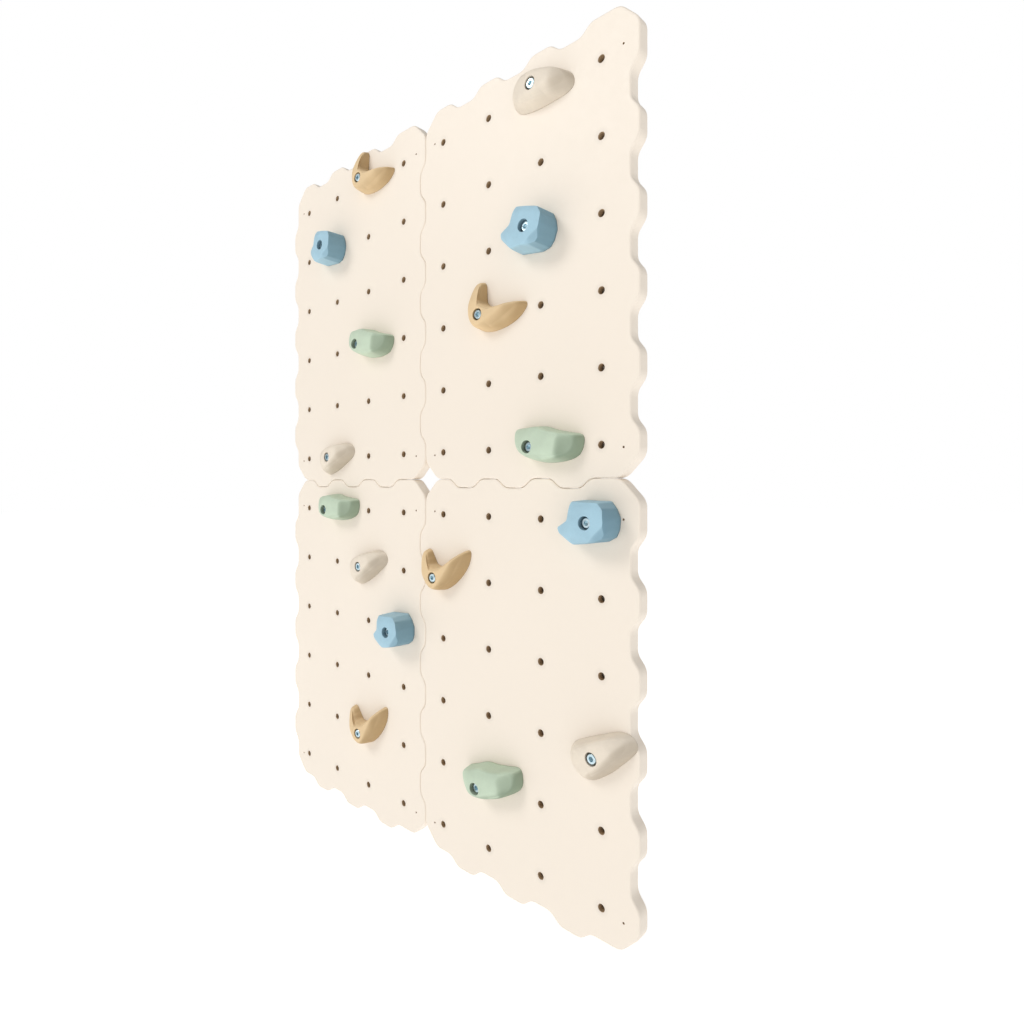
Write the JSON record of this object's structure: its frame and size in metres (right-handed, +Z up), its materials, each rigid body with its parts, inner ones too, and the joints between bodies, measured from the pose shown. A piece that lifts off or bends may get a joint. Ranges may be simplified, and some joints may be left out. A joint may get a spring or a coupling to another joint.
{
  "type": "rock climbing wall",
  "caption": "Children's wall-mounted climbing wall: interlocking scalloped plywood panels with rows of T-nut holes and bolt-on resin holds in a few shapes.",
  "frame": {"origin": "centre of the wall's back, on the plane that lies against the building", "axes": "+X right and +Z up as the climber sees it, +Y into the building, so the climbing side faces -Y"},
  "size_m": [0.98, 0.068, 1.44],
  "materials": {
    "painted_plywood": "satin",
    "zinc_plated_steel": "satin",
    "blue_resin": "matte",
    "green_resin": "matte",
    "tan_resin": "matte",
    "cream_resin": "matte"
  },
  "bodies": {
    "wall": {"panel_upper_left": "painted_plywood", "tnuts_upper_left": "zinc_plated_steel", "panel_upper_right": "painted_plywood", "tnuts_upper_right": "zinc_plated_steel", "panel_lower_left": "painted_plywood", "tnuts_lower_left": "zinc_plated_steel", "panel_lower_right": "painted_plywood", "tnuts_lower_right": "zinc_plated_steel", "bolt_horn_upper_left": "zinc_plated_steel", "washer_horn_upper_left": "zinc_plated_steel", "bolt_block_upper_left": "zinc_plated_steel", "washer_block_upper_left": "zinc_plated_steel", "bolt_bean_upper_left": "zinc_plated_steel", "washer_bean_upper_left": "zinc_plated_steel", "bolt_wedge_upper_left": "zinc_plated_steel", "washer_wedge_upper_left": "zinc_plated_steel", "bolt_wedge_upper_right": "zinc_plated_steel", "washer_wedge_upper_right": "zinc_plated_steel", "bolt_block_upper_right": "zinc_plated_steel", "washer_block_upper_right": "zinc_plated_steel", "bolt_horn_upper_right": "zinc_plated_steel", "washer_horn_upper_right": "zinc_plated_steel", "bolt_bean_upper_right": "zinc_plated_steel", "washer_bean_upper_right": "zinc_plated_steel", "bolt_bean_lower_left": "zinc_plated_steel", "washer_bean_lower_left": "zinc_plated_steel", "bolt_wedge_lower_left": "zinc_plated_steel", "washer_wedge_lower_left": "zinc_plated_steel", "bolt_block_lower_left": "zinc_plated_steel", "washer_block_lower_left": "zinc_plated_steel", "bolt_horn_lower_left": "zinc_plated_steel", "washer_horn_lower_left": "zinc_plated_steel", "bolt_block_lower_right": "zinc_plated_steel", "washer_block_lower_right": "zinc_plated_steel", "bolt_horn_lower_right": "zinc_plated_steel", "washer_horn_lower_right": "zinc_plated_steel", "bolt_wedge_lower_right": "zinc_plated_steel", "washer_wedge_lower_right": "zinc_plated_steel", "bolt_bean_lower_right": "zinc_plated_steel", "washer_bean_lower_right": "zinc_plated_steel"},
    "horn_upper_left_hold": {"hold_horn_upper_left": "tan_resin"},
    "block_upper_left_hold": {"hold_block_upper_left": "blue_resin"},
    "bean_upper_left_hold": {"hold_bean_upper_left": "green_resin"},
    "wedge_upper_left_hold": {"hold_wedge_upper_left": "cream_resin"},
    "wedge_upper_right_hold": {"hold_wedge_upper_right": "cream_resin"},
    "block_upper_right_hold": {"hold_block_upper_right": "blue_resin"},
    "horn_upper_right_hold": {"hold_horn_upper_right": "tan_resin"},
    "bean_upper_right_hold": {"hold_bean_upper_right": "green_resin"},
    "bean_lower_left_hold": {"hold_bean_lower_left": "green_resin"},
    "wedge_lower_left_hold": {"hold_wedge_lower_left": "cream_resin"},
    "block_lower_left_hold": {"hold_block_lower_left": "blue_resin"},
    "horn_lower_left_hold": {"hold_horn_lower_left": "tan_resin"},
    "block_lower_right_hold": {"hold_block_lower_right": "blue_resin"},
    "horn_lower_right_hold": {"hold_horn_lower_right": "tan_resin"},
    "wedge_lower_right_hold": {"hold_wedge_lower_right": "cream_resin"},
    "bean_lower_right_hold": {"hold_bean_lower_right": "green_resin"}
  },
  "joints": [
    {"name": "horn_upper_left_turn", "type": "hinge", "parent": "wall", "child": "horn_upper_left_hold", "pos_m": [-0.18086, -0.021, 0.65294], "axis": [0, -1, 0], "continuous": true},
    {"name": "block_upper_left_turn", "type": "hinge", "parent": "wall", "child": "block_upper_left_hold", "pos_m": [-0.30144, -0.021, 0.53422], "axis": [0, -1, 0], "continuous": true},
    {"name": "bean_upper_left_turn", "type": "hinge", "parent": "wall", "child": "bean_upper_left_hold", "pos_m": [-0.18086, -0.021, 0.29679], "axis": [0, -1, 0], "continuous": true},
    {"name": "wedge_upper_left_turn", "type": "hinge", "parent": "wall", "child": "wedge_upper_left_hold", "pos_m": [-0.30144, -0.021, 0.05936], "axis": [0, -1, 0], "range_deg": [-30, 30]},
    {"name": "wedge_upper_right_turn", "type": "hinge", "parent": "wall", "child": "wedge_upper_right_hold", "pos_m": [0.30144, -0.021, 0.65294], "axis": [0, -1, 0], "continuous": true},
    {"name": "block_upper_right_turn", "type": "hinge", "parent": "wall", "child": "block_upper_right_hold", "pos_m": [0.30144, -0.021, 0.41551], "axis": [0, -1, 0], "continuous": true},
    {"name": "horn_upper_right_turn", "type": "hinge", "parent": "wall", "child": "horn_upper_right_hold", "pos_m": [0.18086, -0.021, 0.29679], "axis": [0, -1, 0], "continuous": true},
    {"name": "bean_upper_right_turn", "type": "hinge", "parent": "wall", "child": "bean_upper_right_hold", "pos_m": [0.30144, -0.021, 0.05936], "axis": [0, -1, 0], "continuous": true},
    {"name": "bean_lower_left_turn", "type": "hinge", "parent": "wall", "child": "bean_lower_left_hold", "pos_m": [-0.30144, -0.021, -0.05936], "axis": [0, -1, 0], "range_deg": [-30, 30]},
    {"name": "wedge_lower_left_turn", "type": "hinge", "parent": "wall", "child": "wedge_lower_left_hold", "pos_m": [-0.18086, -0.021, -0.17808], "axis": [0, -1, 0], "continuous": true},
    {"name": "block_lower_left_turn", "type": "hinge", "parent": "wall", "child": "block_lower_left_hold", "pos_m": [-0.06029, -0.021, -0.29679], "axis": [0, -1, 0], "continuous": true},
    {"name": "horn_lower_left_turn", "type": "hinge", "parent": "wall", "child": "horn_lower_left_hold", "pos_m": [-0.18086, -0.021, -0.53422], "axis": [0, -1, 0], "continuous": true},
    {"name": "block_lower_right_turn", "type": "hinge", "parent": "wall", "child": "block_lower_right_hold", "pos_m": [0.42201, -0.021, -0.05936], "axis": [0, -1, 0], "continuous": true},
    {"name": "horn_lower_right_turn", "type": "hinge", "parent": "wall", "child": "horn_lower_right_hold", "pos_m": [0.06029, -0.021, -0.17808], "axis": [0, -1, 0], "continuous": true},
    {"name": "wedge_lower_right_turn", "type": "hinge", "parent": "wall", "child": "wedge_lower_right_hold", "pos_m": [0.42201, -0.021, -0.41551], "axis": [0, -1, 0], "continuous": true},
    {"name": "bean_lower_right_turn", "type": "hinge", "parent": "wall", "child": "bean_lower_right_hold", "pos_m": [0.18086, -0.021, -0.53422], "axis": [0, -1, 0], "continuous": true}
  ]
}
